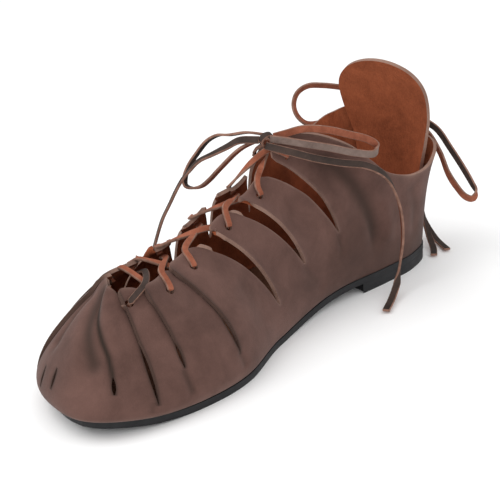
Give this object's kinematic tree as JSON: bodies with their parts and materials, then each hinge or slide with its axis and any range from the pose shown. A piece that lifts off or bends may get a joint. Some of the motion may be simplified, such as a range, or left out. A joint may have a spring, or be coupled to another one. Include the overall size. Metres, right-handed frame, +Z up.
{
  "type": "lace-up roman sandal",
  "caption": "Closed-toe lace-up leather sandal with cut-out petals along the instep, thong lacing in a bow, a tall heel flap and a flat sole with a low heel.",
  "frame": {"origin": "under the middle of the shoe, on the floor that it stands on", "axes": "+Z up, the toe points to -Y and the heel to +Y, the inner (medial) side of the right foot is at +X"},
  "size_m": [0.1153, 0.3031, 0.121],
  "materials": {
    "sole_rubber": "matt",
    "nubuck": "nubuck",
    "flesh_leather": "rough flesh side",
    "thong": "matt"
  },
  "bodies": {
    "root": {"outsole": "sole_rubber", "heel": "sole_rubber", "insole": "flesh_leather", "upper": "nubuck", "heel_flap": "flesh_leather", "front_lace_crossings": "thong", "front_lace_knot": "thong", "front_lace_loop_medial": "thong", "front_lace_loop_lateral": "thong", "front_lace_end_medial": "thong", "front_lace_end_lateral": "thong", "heel_lace_knot": "thong", "heel_lace_loop_lateral": "thong", "heel_lace_loop_medial": "thong", "heel_lace_end_medial": "thong", "heel_lace_end_lateral": "thong"}
  },
  "joints": []
}
